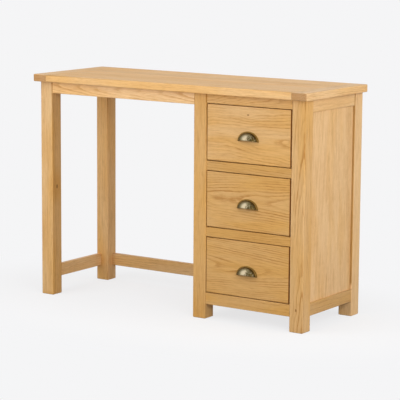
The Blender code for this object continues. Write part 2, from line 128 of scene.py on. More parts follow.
class Leg(Enum):
    """The nodes of the six legs: two at the left end, and four round the pedestal."""

    FRONT_LEFT = "leg_front_left"
    BACK_LEFT = "leg_back_left"
    INNER_FRONT = "pedestal_leg_front_left"
    INNER_BACK = "pedestal_leg_back_left"
    OUTER_FRONT = "pedestal_leg_front_right"
    OUTER_BACK = "pedestal_leg_back_right"


@dataclass
class Box:
    """A box between its lowest and highest corners."""

    low: Vector
    high: Vector

    @classmethod
    def of(cls, node: str) -> "Box":
        """Box of a CAD node."""
        low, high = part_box(node)
        return cls(low, high)

    @property
    def centre(self) -> Vector:
        """Middle of the box."""
        return (self.low + self.high) / 2

    @property
    def size(self) -> Vector:
        """Lengths of the box's sides."""
        return self.high - self.low

    def within(self, axis: int, low: float, high: float) -> "Box":
        """The same box with another stretch along one axis.

        Args:
            axis: 0, 1 or 2.
            low: The stretch's low end.
            high: Its high end.

        Returns:
            A new box.
        """
        made = Box(self.low.copy(), self.high.copy())
        made.low[axis], made.high[axis] = low, high
        return made

    def grown(self, gap: float) -> "Box":
        """The box made larger by a gap on every side."""
        step = Vector((gap, gap, gap))
        return Box(self.low - step, self.high + step)

    def form(self) -> Form:
        """Make the box as a bmesh.

        Returns:
            The form.
        """
        form = bmesh.new()
        bmesh.ops.create_cube(form, size=1.0)
        bmesh.ops.scale(form, vec=self.size, verts=form.verts)
        bmesh.ops.translate(form, vec=self.centre, verts=form.verts)
        return form


def evenly(centre: float, width: float) -> tuple[float, float]:
    """Low and high end of a width laid evenly about a centre."""
    return centre - width / 2, centre + width / 2


def round_over(form: Form, edges: list[bmesh.types.BMEdge], radius: float, steps: int) -> None:
    """Round some edges and shade the new faces smooth.

    Args:
        form: The solid to change.
        edges: The edges to round.
        radius: The round's radius.
        steps: Faces across the round.
    """
    made = bmesh.ops.bevel(
        form, geom=edges, offset=radius, segments=steps, affect="EDGES", profile=0.5, material=-1,
        clamp_overlap=True,
    )
    for face in made["faces"]:
        face.smooth = True


def spun(profile: Sequence[tuple[float, float]], way: int, angle: float, steps: int) -> Form:
    """Spin a profile about Y.

    Args:
        profile: Each point's distance from the axis, and its height along it.
        way: 1 where heights go along +Y, and -1 along -Y.
        angle: How far the profile goes round, from +X.
        steps: Faces round the turn.

    Returns:
        The spun skin, closed where the turn is full.
    """
    form = bmesh.new()
    verts = [form.verts.new((reach, way * height, 0.0)) for reach, height in profile]
    edges = [form.edges.new(pair) for pair in zip(verts, verts[1:])]
    bmesh.ops.spin(
        form, geom=[*verts, *edges], axis=(0, way, 0), cent=(0, 0, 0), angle=angle, steps=steps,
        use_merge=angle > math.pi,
    )
    bmesh.ops.remove_doubles(form, verts=form.verts, dist=MERGE)
    bmesh.ops.recalc_face_normals(form, faces=form.faces)
    return form


def mesh_of(name: str, form: Form, *others: Form) -> Mesh:
    """Write forms that don't meet to one new mesh, and free them.

    Args:
        name: The mesh's name.
        form: The first form.
        *others: The others.

    Returns:
        The mesh.
    """
    for other in others:
        part = mesh_of("part", other)
        form.from_mesh(part)
        bpy.data.meshes.remove(part)
    mesh = bpy.data.meshes.new(name)
    form.to_mesh(mesh)
    form.free()
    return mesh


def stand(name: str, data: bpy.types.ID) -> bpy.types.Object:
    """Put a new object in the scene.

    Args:
        name: Its name.
        data: Its mesh, lamp or camera.

    Returns:
        The object.
    """
    obj = bpy.data.objects.new(name, data)
    bpy.context.scene.collection.objects.link(obj)
    return obj


def worked(name: str, form: Form, added: Sequence[Form] = (), cut: Sequence[Form] = ()) -> Mesh:
    """Join forms to a solid and cut others out of it.

    Args:
        name: The finished mesh's name.
        form: The solid.
        added: Forms that become part of it.
        cut: Forms that are cut away.

    Returns:
        The finished mesh.
    """
    body = stand("body", mesh_of("body", form))
    made = [body]
    for label, operation, forms in (("added", "UNION", added), ("cut", "DIFFERENCE", cut)):
        if forms:
            made.append(stand(label, mesh_of(label, *forms)))
            modifier = body.modifiers.new(label, "BOOLEAN")
            modifier.operation = operation
            modifier.object = made[-1]
    depsgraph = bpy.context.evaluated_depsgraph_get()
    mesh = bpy.data.meshes.new_from_object(body.evaluated_get(depsgraph))
    mesh.name = name
    mesh.materials.clear()
    for obj in made:
        spent = obj.data
        bpy.data.objects.remove(obj)
        bpy.data.meshes.remove(spent)
    return mesh


def rgba(colour: Colour, level: float = 1.0) -> tuple[float, float, float, float]:
    """A colour, made lighter or darker, as a socket takes it."""
    return (colour[0] * level, colour[1] * level, colour[2] * level, 1.0)


class Noise(NamedTuple):
    """A noise's lumps in a metre along each axis, and how many finer layers it has."""

    rate: Triple
    detail: float = 2.0


class Nodes:
    """Writes a node tree, one node a call. An input takes a socket or a plain value."""

    def __init__(self, tree: bpy.types.NodeTree) -> None:
        """Work on a tree."""
        self.tree = tree

    def feed(self, target: Socket, value: Feed) -> None:
        """Link a socket, or set a plain value.

        Args:
            target: The input.
            value: What it takes.
        """
        if isinstance(value, bpy.types.NodeSocket):
            self.tree.links.new(value, target)
        else:
            target.default_value = value

    def add(self, kind: str, inputs: Inputs | None = None, **settings: object) -> bpy.types.Node:
        """Add a node.

        Args:
            kind: The node's type.
            inputs: What its inputs take, by name or number.
            **settings: Its other properties.

        Returns:
            The node.
        """
        node = self.tree.nodes.new(kind)
        for name, value in settings.items():
            setattr(node, name, value)
        for name, value in (inputs or {}).items():
            self.feed(node.inputs[name], value)
        return node

    def math(self, operation: str, *values: Feed) -> Socket:
        """One step of arithmetic."""
        return self.add("ShaderNodeMath", dict(enumerate(values)), operation=operation).outputs[0]

    def vector(self, operation: str, *values: Feed) -> Socket:
        """One step of arithmetic on vectors."""
        node = self.add("ShaderNodeVectorMath", dict(enumerate(values)), operation=operation)
        return node.outputs["Value" if operation in ("LENGTH", "DOT_PRODUCT") else "Vector"]

    def parts(self, value: Feed) -> Outputs:
        """The three parts of a vector."""
        return self.add("ShaderNodeSeparateXYZ", {0: value}).outputs

    def chance(self, value: Feed) -> Outputs:
        """A value and a colour that whole numbers draw by chance."""
        whole = self.math("FLOOR", value)
        return self.add("ShaderNodeTexWhiteNoise", {"W": whole}, noise_dimensions="1D").outputs

    def noise(self, place: Feed, kind: Noise, output: str = "Fac") -> Socket:
        """Soft noise at a place, as one value or as a colour."""
        inputs = {"Vector": self.vector("MULTIPLY", place, kind.rate), "Scale": 1.0, "Detail": kind.detail}
        return self.add("ShaderNodeTexNoise", inputs).outputs[output]

    def spread(self, value: Feed, low: float, high: float, first: float = 0.0, last: float = 1.0) -> Socket:
        """Turn a value smoothly from first into last as it goes from low to high."""
        inputs = dict(enumerate((value, low, high, first, last)))
        return self.add("ShaderNodeMapRange", inputs, interpolation_type="SMOOTHSTEP").outputs[0]

    def blend(self, amount: Feed, first: Feed, second: Feed) -> Socket:
        """Blend two colours by the amount of the second."""
        inputs = {0: amount, 6: first, 7: second}
        return self.add("ShaderNodeMix", inputs, data_type="RGBA").outputs[2]

    def tint(self, colour: Feed, coats: Iterable[tuple[Feed, Colour]]) -> Feed:
        """Lay tints over a colour, one after another.

        Args:
            colour: The colour below.
            coats: How much of each tint shows, and the tint.

        Returns:
            The colour on top.
        """
        for amount, tint in coats:
            colour = self.blend(amount, colour, rgba(tint))
        return colour

    def ramp(self, value: Feed, stops: Sequence[tuple[float, float]]) -> Socket:
        """A grey ramp.

        Args:
            value: What runs along the ramp.
            stops: Places on the ramp with their brightness.

        Returns:
            The ramp's colour.
        """
        node = self.add("ShaderNodeValToRGB", {0: value})
        elements = node.color_ramp.elements
        while len(elements) < len(stops):
            elements.new(0.5)
        for element, (place, level) in zip(elements, stops):
            element.position = place
            element.color = (level, level, level, 1.0)
        return node.outputs[0]

    def bump(self, strength: float, depth: float, height: Feed) -> Socket:
        """The shading normal of a surface with this height."""
        inputs = {"Strength": strength, "Distance": depth, "Height": height}
        return self.add("ShaderNodeBump", inputs).outputs["Normal"]


class Surface(Nodes):
    """A new material's tree, with its shader and the place that it is read at."""

    def __init__(self, name: str) -> None:
        """Start a material.

        Args:
            name: Its name.
        """
        self.material = bpy.data.materials.new(name)
        self.material.use_nodes = True
        super().__init__(self.material.node_tree)
        self.shader = self.tree.nodes["Principled BSDF"]
        self.where = self.add("ShaderNodeTexCoord").outputs
        self.place = self.where["Object"]

    def finish(self, colour: Feed, rough: Feed, normal: Feed, plain: dict[str, float]) -> Material:
        """Feed the shader.

        Args:
            colour: The surface's colour.
            rough: Its roughness.
            normal: Its shading normal.
            plain: Inputs that are the same all over, by name.

        Returns:
            The material.
        """
        for name, value in {"Base Color": colour, "Roughness": rough, "Normal": normal, **plain}.items():
            self.feed(self.shader.inputs[name], value)
        return self.material


@dataclass(frozen=True)
class Cut:
    """How a board was sawn from its log, and how it came out.

    Attributes:
        pith: The board's middle from the log's heart, in the two directions across the fibres.
        along: Where on the log it was.
        taper: How fast the rings close in along it. Its sign turns the loops round.
        ring: A year's growth.
        wave: How far the rings wander.
        level: The board's brightness.
        warmth: How honey-coloured it is.
        lines: How strongly the rings show.
        knot: A knot's place from the board's middle, in the log's axes.
        knot_reach: The knot's reach.
        staves: The axis across a glued board's staves, and their width.
        end: How dark its end grain is. On the drawer fronts it is also painted shade in the gaps beside them.
        end_turn: How far a face turns to the fibres' ends, from none of that dark to all of it.
        front: Painted light and shade on the face towards -Y: its brightness and warmth there, and the height
            where they begin.
    """

    pith: tuple[float, float]
    along: float
    taper: float
    ring: float = 0.0050
    wave: float = 0.012
    level: float = 1.0
    warmth: float = 0.5
    lines: float = 0.80
    knot: Triple | None = None
    knot_reach: float = 0.010
    staves: tuple[int, float] | None = None
    end: float = 0.55
    end_turn: tuple[float, float] = (0.55, 0.90)
    front: Triple | None = None


# The drawer fronts' ends: darker end grain, turned on over their rounded edges too, partly real end grain and
# partly painted shade in the gaps beside the fronts
END_GRAIN_AND_GAP_SHADE = {"end": 0.90, "end_turn": (0.05, 0.45)}

# Warmth and level here also paint light and shade: boards that face -Y are warmer than those that face +X, as
# painted warm light from the front
# The boards whose cut is set one by one. In order: pith, along, taper, ring, wave, level, warmth, lines
BOARDS = {
    "apron_front": Cut((0.010, -0.026), 0.3, -0.050, 0.0046, 0.008, 1.12, 0.10, 0.75),
    "apron_back": Cut((0.030, 0.060), 1.3, 0.016),
    "apron_left": Cut((0.030, 0.055), 2.1, 0.018),
    "stretcher_left": Cut((0.045, 0.060), 3.7, 0.012, 0.0050, 0.012, 1.10, 0.3, 0.40),
    "stretcher_back": Cut((0.050, -0.060), 4.9, 0.014, 0.0050, 0.012, 1.01, 0.3, 0.40),
    "front_rail_bottom": Cut((0.040, -0.060), 0.7, 0.012, 0.0050, 0.012, 0.85, 0.9, 0.45),
    "front_rail_lower": Cut((0.030, -0.035), 1.9, 0.020, 0.0040, 0.014, 0.84, 1.0, 1.0),
    "front_rail_upper": Cut((-0.035, -0.045), 3.1, 0.030, 0.0044, 0.010, 0.82, 1.0, 0.70),
    "front_rail_top": Cut((0.020, -0.030), 4.4, 0.090, 0.0044, 0.026, 0.90, 0.9, 1.0),
    "side_rail_outer_bottom": Cut((0.040, -0.060), 0.9, 0.010, 0.0050, 0.012, 0.78, 0.6, 0.40),
    "side_rail_outer_top": Cut((-0.040, -0.060), 2.7, 0.010, 0.0050, 0.012, 0.95, 0.1, 0.15),
    "side_panel_outer": Cut((-0.004, 0.020), 5.2, 0.060, 0.0060, 0.012, 1.00, 0.05, 1.0),
    "side_rail_inner_bottom": Cut((0.010, 0.070), 6.9, 0.010),
    "side_rail_inner_top": Cut((-0.014, 0.080), 7.7, 0.010),
    "side_panel_inner": Cut((0.050, 0.0), 8.2, 0.020, 0.0036, 0.022, 1.0, 0.35, staves=(1, 0.092)),
    "back_rail_bottom": Cut((0.010, 0.070), 9.9, 0.010),
    "back_rail_top": Cut((-0.014, 0.080), 10.7, 0.010),
    "back_panel": Cut((0.0, 0.060), 11.2, 0.020, 0.0040, 0.022, 1.0, 0.35, staves=(0, 0.085)),
    # front= paints this leg's front face lighter and paler than its other faces: painted light
    "leg_front_left": Cut(
        (0.085, 0.050), 0.0, 0.008, 0.0048, 0.014, 0.90, 0.80, 0.60, knot=(0.025, 0.0, 0.008),
        front=(0.97, 0.40, 0.0),
    ),
    "leg_back_left": Cut((0.060, 0.070), 1.7, 0.010, 0.0050, 0.012, 1.05, 0.50, 0.60),
    "pedestal_leg_front_left": Cut((-0.070, 0.075), 3.3, 0.006, 0.0044, 0.012, 0.90, 0.95),
    "pedestal_leg_back_left": Cut((0.070, -0.060), 5.1, 0.010),
    "pedestal_leg_front_right": Cut(
        (-0.030, 0.050), 6.4, 0.080, 0.0090, 0.024, 0.90, 0.60, 0.90, knot=(0.0, -0.025, -0.303),
        knot_reach=0.007,
    ),
    # front= paints this leg's front face darker and warmer inside the panel's recess: painted shade
    "pedestal_leg_back_right": Cut(
        (-0.060, -0.050), 8.2, 0.010, 0.0050, 0.012, 1.03, 0.0, 0.50, front=(0.62, 0.95, 0.10)
    ),
    # front= paints the top's front edge lighter and paler: painted light
    "top_field": Cut(
        (0.060, 0.0), 0.0, 0.012, 0.0046, 0.016, 1.07, 0.63, 0.35, staves=(1, 0.0658), front=(1.14, 0.40, 0.0)
    ),
    "top_end_left": Cut((0.0, -0.070), 1.2, 0.014, 0.0050, 0.012, 1.06, 0.3),
    "top_end_right": Cut((0.010, -0.080), 2.6, 0.014, 0.0050, 0.012, 1.03, 0.2),
    # The drawer fronts' levels fall from top to bottom: painted shade of light that falls off downwards
    "drawer_top_front": Cut(
        (-0.012, -0.060), 0.13, -0.030, 0.0064, 0.024, 0.92, 0.62, 0.60, knot=(-0.066, -0.010, -0.002),
        knot_reach=0.006, **END_GRAIN_AND_GAP_SHADE,
    ),
    "drawer_middle_front": Cut((0.010, -0.040), 3.05, -0.035, 0.0058, 0.014, 0.87, 0.88, 1.0, **END_GRAIN_AND_GAP_SHADE),
    "drawer_bottom_front": Cut((0.004, -0.031), 4.15, 0.060, 0.0058, 0.004, 0.86, 0.95, 0.90, **END_GRAIN_AND_GAP_SHADE),
}


class Oak:
    """Light natural oak under a satin lacquer: one shared figure, read at another place by each board."""

    LIGHT: Colour = (0.790, 0.520, 0.258)
    WARM: Colour = (0.760, 0.415, 0.112)
    LINE: Colour = (0.460, 0.185, 0.020)
    PORE: Colour = (0.280, 0.110, 0.015)
    # End grain's colour, also used as painted shade in the gaps beside the drawer fronts
    END: Colour = (0.250, 0.085, 0.005)
    LACQUER = {"Specular IOR Level": 0.30, "Coat Weight": 0.06, "Coat Roughness": 0.35}
    ROUGHNESS = 0.49
    BUMP = (0.30, 0.0004)
    SOCKETS = (
        ("INPUT", "Vector", ("Place", "Knot")),
        ("INPUT", "Float", ("Ring", "Wave", "Taper", "Level", "Warmth", "Lines", "End", "Knot Reach")),
        ("OUTPUT", "Color", ("Color",)),
        ("OUTPUT", "Float", ("Roughness",)),
        ("OUTPUT", "Vector", ("Normal",)),
    )

    # Noises in the log, whose fibres run along the last axis
    FIBRES = Noise((420.0, 420.0, 20.0), 3.0)
    PORES = Noise((1500.0, 1500.0, 45.0), 1.0)
    STREAKS = Noise((150.0, 150.0, 8.0))
    DASHES = Noise((310.0, 310.0, 44.0))
    PATCHES = Noise((14.0, 14.0, 2.5))
    BENDS = Noise((8.0, 8.0, 4.5))
    LUMPS = Noise((28.0, 28.0, 9.0))
    RIPPLES = Noise((110.0, 110.0, 26.0))
    FADES = Noise((26.0, 26.0, 6.0))

    # The rings: their profile from one year's spring to the next, and what bends, breaks and fades them
    RING_PROFILE = ((0.0, 0.05), (0.05, 0.90), (0.15, 1.0), (0.30, 0.55), (0.52, 0.08), (1.0, 0.0))
    LUMP_DEPTH = 0.32
    RIPPLE_DEPTH = 0.0018
    YEAR_SHARE: Stretch = (0.0, 1.0, 0.40, 1.0)
    FADE_SHARE: Stretch = (0.34, 0.62, 0.20, 1.0)
    DASH_SHARE: Stretch = (0.36, 0.58, 0.60, 1.05)

    # A knot: its form, how it swells the rings, its dark heart, and the warm wood round a large one
    NO_KNOT: Triple = (1.0, 1.0, 1.0)
    KNOT_FORM: Triple = (1.0, 1.0, 0.6)
    SWELL = 0.005
    SWELL_FALL = -0.25
    HEART: Stretch = (0.25, 0.60, 1.0, 0.0)
    HALO: Stretch = (0.6, 5.0, 1.0, 0.0)
    HALO_SIZE: Stretch = (0.006, 0.010)
    HALO_WARMTH = 0.40

    # How much each mark shows, where it is open, and what it does to the surface
    PATCH_WARMTH: Stretch = (0.35, 0.65, -0.25, 0.25)
    STREAK_SHADE: Stretch = (0.55, 0.70, 0.0, 0.22)
    HALO_SHADE = 0.22
    DASH_SHADE: Stretch = (0.56, 0.70, 0.0, 0.15)
    FIBRE_SHADE: Stretch = (0.32, 0.62, 0.14, 0.0)
    PORE_SHADE = 0.50
    HEART_SHADE = 0.85
    OPEN_PORES: Stretch = (0.54, 0.66)
    PORES_IN_SPRING = (0.75, 0.25)
    FIBRE_TONE: Stretch = (0.30, 0.70, 1.01, 1.07)
    FIBRE_ROUGHNESS: Stretch = (0.30, 0.70, -0.04, 0.04)
    PORE_ROUGHNESS = 0.20
    HEIGHTS = {"fibre": 0.35, "pore": -1.0, "ring": -0.30}

    # Staves: how far apart they were in the log, how their brightness differs, and their seams
    STAVE_SHIFT: Triple = (0.030, 0.030, 3.0)
    STAVE_TONE = 0.045
    SEAM_WIDTH = 0.0006
    SEAM_TONE = 0.80

    # Painted light and shade on the face towards -Y: how far a face turns that way, and the height over which
    # it comes in
    PAINTED_FRONT_TURN: Stretch = (0.30, 0.80)
    PAINTED_FRONT_RISE = 0.02

    def __init__(self) -> None:
        """Make the figure that every board shares: rings, pores, fibres, streaks, knots and end grain."""
        self.figure = bpy.data.node_groups.new("oak_figure", "ShaderNodeTree")
        for way, kind, names in self.SOCKETS:
            for name in names:
                self.figure.interface.new_socket(name, in_out=way, socket_type="NodeSocket" + kind)
        nodes = Nodes(self.figure)
        given = nodes.add("NodeGroupInput").outputs
        place = given["Place"]
        rings, heart, halo = self.rings(nodes, given)
        fibres, dashes = nodes.noise(place, self.FIBRES), nodes.noise(place, self.DASHES)
        pores = nodes.spread(nodes.noise(place, self.PORES), *self.OPEN_PORES)
        pores = nodes.math("MULTIPLY", pores, nodes.math("MULTIPLY_ADD", rings, *self.PORES_IN_SPRING))
        lines = nodes.math("MULTIPLY", rings, nodes.spread(dashes, *self.DASH_SHARE))
        patches = nodes.spread(nodes.noise(place, self.PATCHES), *self.PATCH_WARMTH)
        warmth = nodes.math("ADD", patches, given["Warmth"])
        warmth = nodes.math("MULTIPLY_ADD", halo, self.HALO_WARMTH, warmth)
        colour = nodes.tint(nodes.blend(warmth, rgba(self.LIGHT), rgba(self.WARM)), (
            (nodes.math("MULTIPLY", lines, given["Lines"]), self.LINE),
            (nodes.spread(nodes.noise(place, self.STREAKS), *self.STREAK_SHADE), self.LINE),
            (nodes.math("MULTIPLY", halo, self.HALO_SHADE), self.LINE),
            (nodes.spread(dashes, *self.DASH_SHADE), self.LINE),
            (nodes.spread(fibres, *self.FIBRE_SHADE), self.LINE),
            (nodes.math("MULTIPLY", pores, self.PORE_SHADE), self.PORE),
            (nodes.math("MULTIPLY", heart, self.HEART_SHADE), self.PORE),
            (given["End"], self.END),
        ))
        tone = nodes.math("MULTIPLY", nodes.spread(fibres, *self.FIBRE_TONE), given["Level"])
        toned = nodes.add("ShaderNodeVectorMath", {0: colour, "Scale": tone}, operation="SCALE")
        rough = nodes.math("MULTIPLY_ADD", pores, self.PORE_ROUGHNESS, self.ROUGHNESS)
        rough = nodes.math("ADD", rough, nodes.spread(fibres, *self.FIBRE_ROUGHNESS))
        height = nodes.math("MULTIPLY", pores, self.HEIGHTS["pore"])
        height = nodes.math("MULTIPLY_ADD", fibres, self.HEIGHTS["fibre"], height)
        height = nodes.math("MULTIPLY_ADD", rings, self.HEIGHTS["ring"], height)
        nodes.add("NodeGroupOutput", {
            "Color": toned.outputs["Vector"], "Roughness": rough, "Normal": nodes.bump(*self.BUMP, height),
        })

    def rings(self, nodes: Nodes, given: Outputs) -> tuple[Socket, Socket, Socket]:
        """The year rings as they cross the board, bent round a knot.

        Args:
            nodes: The group's nodes.
            given: What the board gives the group.

        Returns:
            How far a spot is spring wood, how far it is a knot, and how near it is to a large one.
        """
        place = given["Place"]
        swing = nodes.vector("SUBTRACT", nodes.noise(place, self.BENDS, "Color"), HALF)
        bent = nodes.vector("ADD", place, nodes.vector("MULTIPLY", swing, given["Wave"]))
        radius = nodes.vector("LENGTH", nodes.vector("MULTIPLY", bent, (1.0, 1.0, 0.0)))
        lump = nodes.math("MULTIPLY", given["Wave"], self.LUMP_DEPTH)
        radius = nodes.math("MULTIPLY_ADD", nodes.noise(place, self.LUMPS), lump, radius)
        radius = nodes.math("MULTIPLY_ADD", nodes.noise(place, self.RIPPLES), self.RIPPLE_DEPTH, radius)
        radius = nodes.math("ADD", radius, nodes.math("MULTIPLY", nodes.parts(place)["Z"], given["Taper"]))
        off = nodes.vector("MULTIPLY", nodes.vector("SUBTRACT", place, given["Knot"]), self.KNOT_FORM)
        reach = nodes.math("DIVIDE", nodes.vector("LENGTH", off), given["Knot Reach"])
        fall = nodes.math("MULTIPLY", nodes.math("MULTIPLY", reach, reach), self.SWELL_FALL)
        radius = nodes.math("MULTIPLY_ADD", nodes.math("POWER", 2.0, fall), self.SWELL, radius)
        count = nodes.math("DIVIDE", radius, given["Ring"])
        strength = nodes.spread(nodes.chance(count)["Value"], *self.YEAR_SHARE)
        fade = nodes.spread(nodes.noise(place, self.FADES), *self.FADE_SHARE)
        rings = nodes.ramp(nodes.math("FRACT", count), self.RING_PROFILE)
        rings = nodes.math("MULTIPLY", nodes.math("MULTIPLY", rings, strength), fade)
        size = nodes.spread(given["Knot Reach"], *self.HALO_SIZE)
        halo = nodes.math("MULTIPLY", nodes.spread(reach, *self.HALO), size)
        return rings, nodes.spread(reach, *self.HEART), halo

    def material(self, name: str, box: Box, grain: Grain, cut: Cut) -> Material:
        """Dress one board.

        Args:
            name: The material's name.
            box: The board's box.
            grain: Which way its fibres run.
            cut: How it was sawn.

        Returns:
            Its material.
        """
        nodes = Surface(name)
        turned = {
            "Vector": nodes.place, "Rotation": grain.turn,
            "Location": -(grain.turn.to_matrix() @ box.centre),
        }
        place = nodes.add("ShaderNodeMapping", turned).outputs[0]
        level: Feed = cut.level
        warmth: Feed = cut.warmth
        if cut.staves:
            place, level = self.stave(nodes, place, cut)
        # Painted light and shade on the board's face towards -Y
        if cut.front:
            level, warmth = self.paint_front_light_and_shade(nodes, cut, level)
        log_place = Vector((*cut.pith, cut.along))
        facing = nodes.vector("DOT_PRODUCT", nodes.where["Normal"], grain.direction)
        given = {
            "Place": nodes.vector("ADD", place, log_place), "Ring": cut.ring, "Wave": cut.wave,
            "Taper": cut.taper, "Level": level, "Warmth": warmth, "Lines": cut.lines,
            "Knot": log_place + Vector(cut.knot or self.NO_KNOT), "Knot Reach": cut.knot_reach,
            "End": nodes.spread(nodes.math("ABSOLUTE", facing), *cut.end_turn, 0.0, cut.end),
        }
        board = nodes.add("ShaderNodeGroup", given, node_tree=self.figure).outputs
        return nodes.finish(board["Color"], board["Roughness"], board["Normal"], self.LACQUER)

    def paint_front_light_and_shade(self, nodes: Surface, cut: Cut, level: Feed) -> tuple[Socket, Socket]:
        """Paint light and shade on a board's face towards -Y above a height, as that face's own brightness
        and warmth.

        Args:
            nodes: The material's nodes.
            cut: How the board was sawn.
            level: The board's brightness elsewhere.

        Returns:
            The board's brightness and its warmth.
        """
        front, warmth, foot = cut.front
        turned = nodes.vector("DOT_PRODUCT", nodes.where["Normal"], (0.0, -1.0, 0.0))
        above = nodes.spread(nodes.parts(nodes.place)["Z"], foot, foot + self.PAINTED_FRONT_RISE)
        share = nodes.math("MULTIPLY", nodes.spread(turned, *self.PAINTED_FRONT_TURN), above)
        gain = nodes.math("MULTIPLY_ADD", share, front / cut.level - 1.0, 1.0)
        warmer = nodes.math("MULTIPLY_ADD", share, warmth - cut.warmth, cut.warmth)
        return nodes.math("MULTIPLY", gain, level), warmer

    def stave(self, nodes: Nodes, place: Socket, cut: Cut) -> tuple[Socket, Socket]:
        """Break a glued board into staves, each from its own place in a log.

        Args:
            nodes: The material's nodes.
            place: The place on the board, fibres along Z.
            cut: How the staves were sawn.

        Returns:
            The place in each stave's own log, and the stave's own brightness.
        """
        axis, width = cut.staves
        parts = nodes.parts(place)
        count = nodes.math("ADD", nodes.math("DIVIDE", parts[axis], width), 0.5)
        chance = nodes.chance(count)
        off = nodes.math("SUBTRACT", nodes.math("FRACT", count), 0.5)
        made = {index: parts[index] for index in range(3)}
        made[axis] = nodes.math("MULTIPLY", off, width)
        own = nodes.add("ShaderNodeCombineXYZ", made).outputs[0]
        shift = nodes.vector("SUBTRACT", chance["Color"], HALF)
        own = nodes.vector("ADD", own, nodes.vector("MULTIPLY", shift, self.STAVE_SHIFT))
        tones = evenly(cut.level, 2 * cut.level * self.STAVE_TONE)
        seam = (0.5 - self.SEAM_WIDTH / width, 0.5, 1.0, self.SEAM_TONE)
        level = nodes.spread(chance["Value"], 0.0, 1.0, *tones)
        return own, nodes.math("MULTIPLY", level, nodes.spread(nodes.math("ABSOLUTE", off), *seam))


@dataclass(frozen=True)
class Pewter:
    """Cast pewter, darkened by age in its recesses and worn bright on its crown, with a painted highlight on
    the crown, partly painted dark reflection on the dome's sides, painted dark reflection with painted bright
    spots in a patch at one side, and painted shade along the lip.
    """

    bright: Colour = (0.300, 0.250, 0.165)
    middle: Colour = (0.195, 0.165, 0.085)
    dark: Colour = (0.100, 0.072, 0.026)
    rim: Colour = (0.210, 0.120, 0.030)
    # Dark of the patina in recesses, also used for painted dark reflection
    patina_and_dark_reflection: Colour = (0.050, 0.030, 0.006)
    clouds: Noise = Noise((190.0, 190.0, 190.0), 4.0)
    grit: Noise = Noise((1600.0, 1600.0, 1600.0))
    reflection_noise: Noise = Noise((330.0, 200.0, 200.0), 1.0)
    # The crown's bright patch: wear, placed and sized also as a painted highlight; beyond it darker dome
    # sides, partly painted dark reflection
    crown_lift: float = 0.015
    crown_reach: tuple[float, float] = (0.55, 0.65)
    cloud_reach: float = 0.5
    crown_edge: Stretch = (0.55, 1.05)
    dome_edge: Stretch = (1.00, 1.45)
    # A patch of painted dark reflection with painted bright spots in it, at one side of the dome
    painted_reflection_place: Triple = (0.020, -0.018, 0.006)
    painted_reflection_reach: float = 0.022
    painted_dark_reflection: Stretch = (0.40, 0.58, 0.85, 0.0)
    painted_bright_spots: Stretch = (0.54, 0.66, 0.0, 0.65)
    hollow_rise: Stretch = (0.24, 0.50, 0.75, 0.0)
    # Painted shade along the lip
    lip_rise: Stretch = (0.002, 0.009, 0.60, 0.0)
    rim_rise: Stretch = (0.15, 0.26, 0.90, 0.0)
    roughness: float = 0.30
    dull: Stretch = (0.6, 1.4, -0.03, 0.12)
    cloud_roughness: float = 0.08
    cloud_height: float = 0.6
    bump: tuple[float, float] = (0.25, 0.0002)

    def material(self, name: str, pull: "CupPull") -> Material:
        """Dress one pull.

        Args:
            name: The material's name.
            pull: The pull.

        Returns:
            Its material.
        """
        nodes = Surface(name)
        foot = pull.origin
        crown = foot + Vector((0.0, -pull.depth, self.crown_lift))
        reach = Vector((pull.half_width * self.crown_reach[0], pull.depth, pull.height * self.crown_reach[1]))
        clouds, grit = nodes.noise(nodes.place, self.clouds), nodes.noise(nodes.place, self.grit)
        reflection_noise = nodes.noise(nodes.place, self.reflection_noise)
        off = nodes.vector("DIVIDE", nodes.vector("SUBTRACT", nodes.place, crown), reach)
        far = nodes.math("MULTIPLY_ADD", clouds, self.cloud_reach, nodes.vector("LENGTH", off))
        rise = nodes.parts(nodes.vector("DIVIDE", nodes.vector("SUBTRACT", foot, nodes.place), reach))["Y"]
        from_foot = nodes.vector("SUBTRACT", nodes.place, foot)
        aside = nodes.vector("LENGTH", nodes.vector("SUBTRACT", from_foot, self.painted_reflection_place))
        near = nodes.spread(aside, 0.5 * self.painted_reflection_reach, self.painted_reflection_reach, 1.0, 0.0)
        # Worn crown with a painted highlight on it, fading to dome sides darkened partly by painted dark
        # reflection
        clear = nodes.blend(nodes.spread(far, *self.crown_edge), rgba(self.bright), rgba(self.middle))
        colour = nodes.tint(clear, (
            (nodes.spread(far, *self.dome_edge), self.dark),
            # Painted dark reflection and painted bright spots in a patch at one side
            (nodes.math("MULTIPLY", near, nodes.spread(reflection_noise, *self.painted_dark_reflection)), self.patina_and_dark_reflection),
            (nodes.math("MULTIPLY", near, nodes.spread(reflection_noise, *self.painted_bright_spots)), self.bright),
            (nodes.spread(rise, *self.hollow_rise), self.patina_and_dark_reflection),
            # Painted shade along the lip
            (nodes.spread(nodes.parts(from_foot)["Z"], *self.lip_rise), self.dark),
            (nodes.spread(rise, *self.rim_rise), self.rim),
        ))
        rough = nodes.math("ADD", nodes.spread(far, *self.dull), self.roughness)
        rough = nodes.math("MULTIPLY_ADD", clouds, self.cloud_roughness, rough)
        height = nodes.math("MULTIPLY_ADD", clouds, self.cloud_height, grit)
        return nodes.finish(colour, rough, nodes.bump(*self.bump, height), {"Metallic": 1.0})


